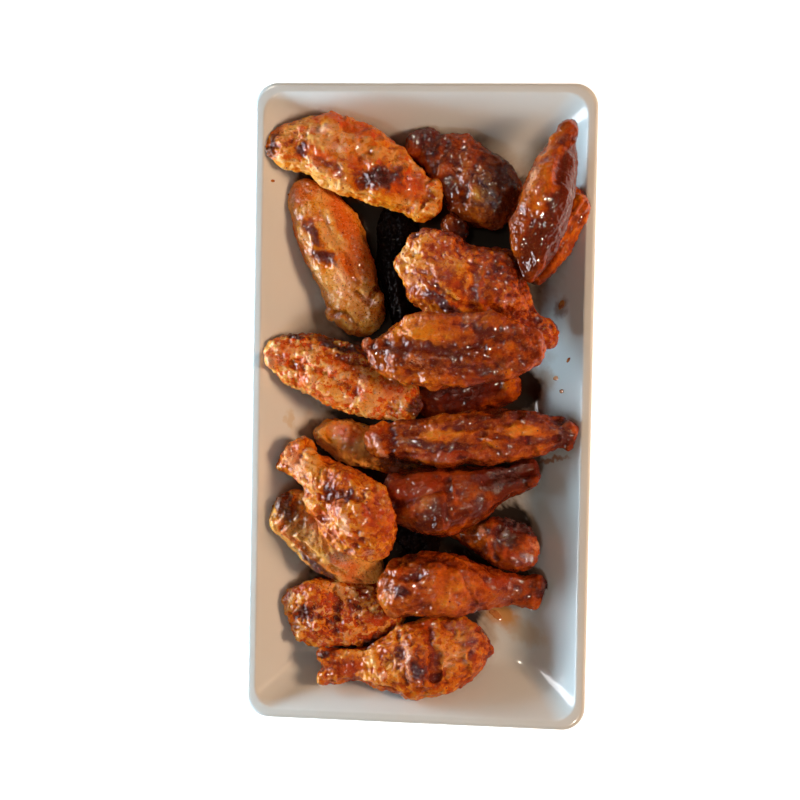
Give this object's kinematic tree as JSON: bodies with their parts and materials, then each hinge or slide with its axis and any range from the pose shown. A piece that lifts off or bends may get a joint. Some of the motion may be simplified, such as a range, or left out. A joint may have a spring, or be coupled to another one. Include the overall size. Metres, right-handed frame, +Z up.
{
  "type": "chicken wings serving",
  "caption": "Chicken wings in a glossy orange-red sauce, drumettes and flats heaped in a shallow white rectangular porcelain platter with a rounded lip.",
  "frame": {"origin": "middle of the platter's foot ring, on the surface that the platter stands on", "axes": "+Z up, +Y along the platter's long side, +X along its short side"},
  "size_m": [0.163, 0.305, 0.0542],
  "materials": {
    "glazed_porcelain": "smooth white glaze with a clear gloss",
    "sauced_flat_skin": "fried chicken skin under a wet, glossy orange-red sauce, browned and charred in patches",
    "sauced_drumette_skin": "fried chicken skin under a wet, glossy red-orange sauce, golden where the sauce is thin"
  },
  "bodies": {
    "root": {"drumette_01": "sauced_drumette_skin", "drumette_02": "sauced_drumette_skin", "drumette_03": "sauced_drumette_skin", "drumette_04": "sauced_drumette_skin", "drumette_05": "sauced_drumette_skin", "drumette_06": "sauced_drumette_skin", "drumette_07": "sauced_drumette_skin", "drumette_08": "sauced_drumette_skin", "flat_01": "sauced_flat_skin", "flat_02": "sauced_flat_skin", "flat_03": "sauced_flat_skin", "flat_04": "sauced_flat_skin", "flat_05": "sauced_flat_skin", "flat_06": "sauced_flat_skin", "flat_07": "sauced_flat_skin", "flat_08": "sauced_flat_skin", "flat_09": "sauced_flat_skin", "flat_10": "sauced_flat_skin", "flat_11": "sauced_flat_skin", "flat_12": "sauced_flat_skin", "flat_13": "sauced_flat_skin", "platter": "glazed_porcelain"}
  },
  "joints": []
}
